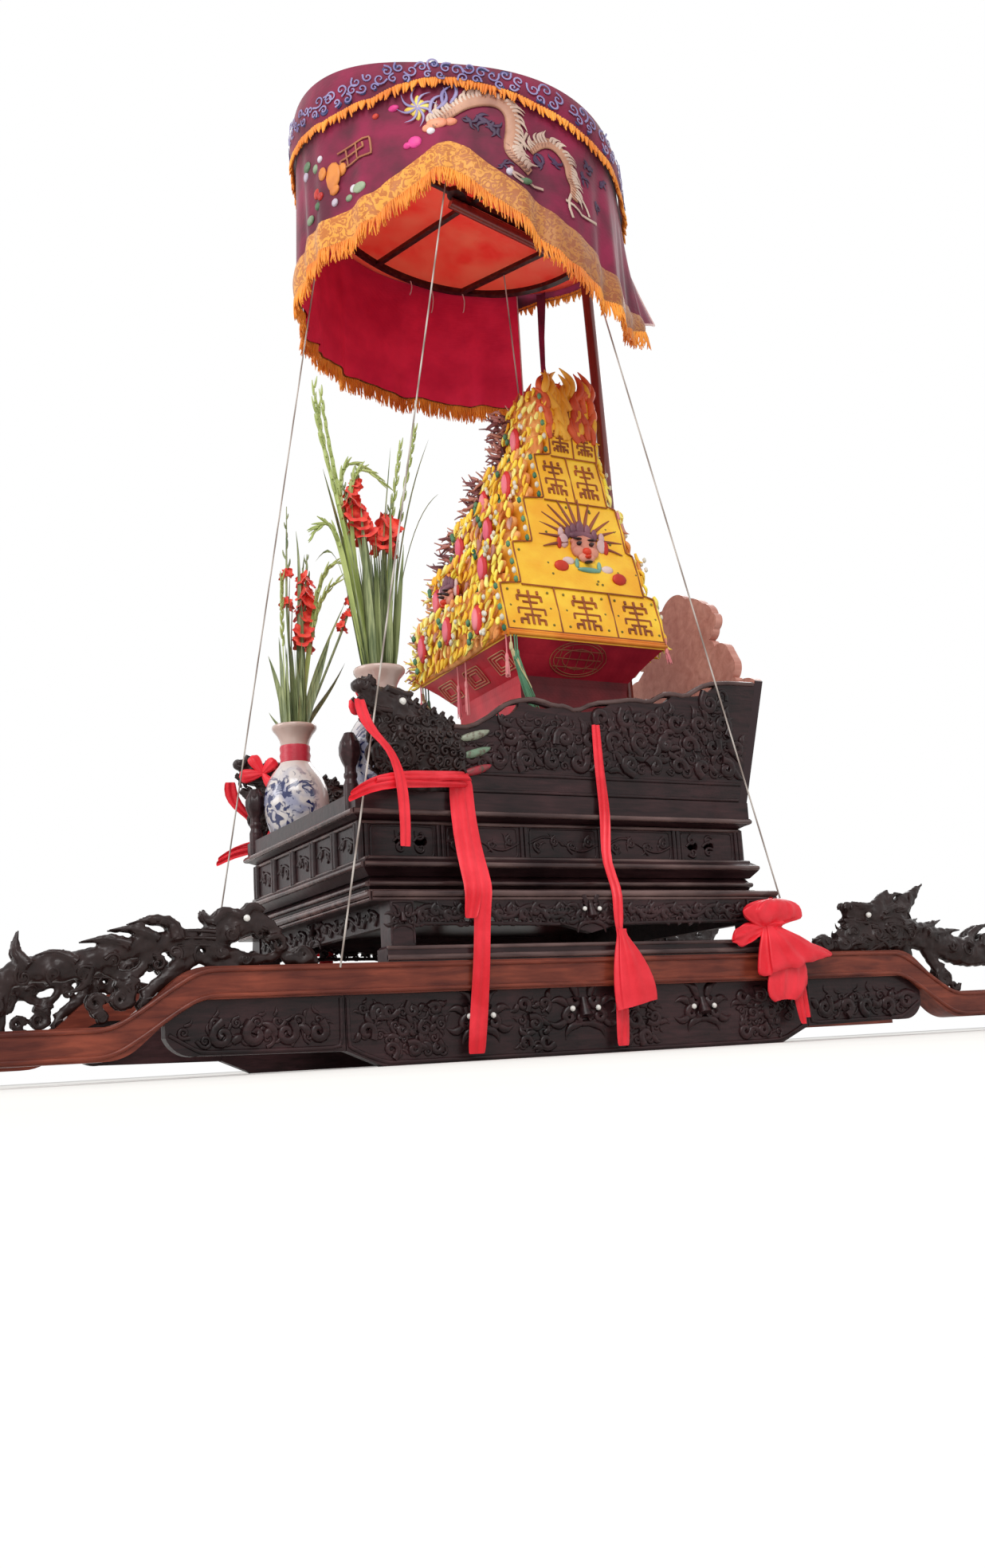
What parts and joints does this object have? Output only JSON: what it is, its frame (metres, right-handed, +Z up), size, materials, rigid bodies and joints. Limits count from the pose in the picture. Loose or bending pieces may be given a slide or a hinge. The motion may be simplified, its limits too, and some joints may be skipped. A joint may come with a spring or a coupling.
{
  "type": "ceremonial palanquin",
  "caption": "Carved wooden processional palanquin: humped carrying beams, moulded stand, throne tray with a draped stepped shrine, vases and a tilted fringed parasol.",
  "frame": {"origin": "on the floor, under the centre of the object's box", "axes": "+X along the beams towards the leaning back board, +Y to the side away from the pictured one, +Z up"},
  "size_m": [3.6, 1.106, 2.712],
  "materials": {
    "carved_wood": "semi-gloss, near black",
    "lacquered_wood": "varnished reddish brown",
    "red_satin": "satin",
    "red_cloth": "plain weave",
    "yellow_satin": "embroidered satin",
    "flame_trim": "tufted silk",
    "velvet": "crimson velvet",
    "dark_rib": "satin",
    "pole_lacquer": "lacquered",
    "porcelain": "glazed",
    "leaf": "leaves and silk petals",
    "stay_cord": "twisted cord"
  },
  "bodies": {
    "root": {"apron_far": "carved_wood", "apron_front": "carved_wood", "apron_near": "carved_wood", "apron_rear": "carved_wood", "arm_head_far": "carved_wood", "arm_head_near": "carved_wood", "beam_far": "lacquered_wood", "beam_near": "lacquered_wood", "cross_rail_front": "lacquered_wood", "cross_rail_rear": "lacquered_wood", "deck": "carved_wood", "dragon_far_front": "carved_wood", "dragon_far_rear": "carved_wood", "dragon_near_front": "carved_wood", "dragon_near_rear": "carved_wood", "flowers_far": "leaf", "flowers_near": "leaf", "front_rail": "carved_wood", "leg_far_front": "carved_wood", "leg_far_rear": "carved_wood", "leg_near_front": "carved_wood", "leg_near_rear": "carved_wood", "moulding_lower": "carved_wood", "moulding_upper": "carved_wood", "parasol_frame": "dark_rib", "parasol_top": "red_cloth", "plinth_far": "carved_wood", "plinth_near": "carved_wood", "pole": "pole_lacquer", "pole_socket": "pole_lacquer", "rosette_far": "red_satin", "rosette_near": "red_satin", "sash_far": "red_satin", "sash_near": "red_satin", "shrine_column": "red_cloth", "shrine_cover": "yellow_satin", "shrine_crest": "flame_trim", "side_far": "carved_wood", "side_near": "carved_wood", "sill_far": "carved_wood", "sill_near": "carved_wood", "sill_rear": "carved_wood", "skirt_far": "carved_wood", "skirt_near": "carved_wood", "stays": "stay_cord", "table_top": "carved_wood", "throne_back": "lacquered_wood", "valance": "velvet", "valance_band": "velvet", "vase_far": "porcelain", "vase_near": "porcelain", "waist_far": "carved_wood", "waist_front": "carved_wood", "waist_near": "carved_wood", "waist_rear": "carved_wood"}
  },
  "joints": []
}
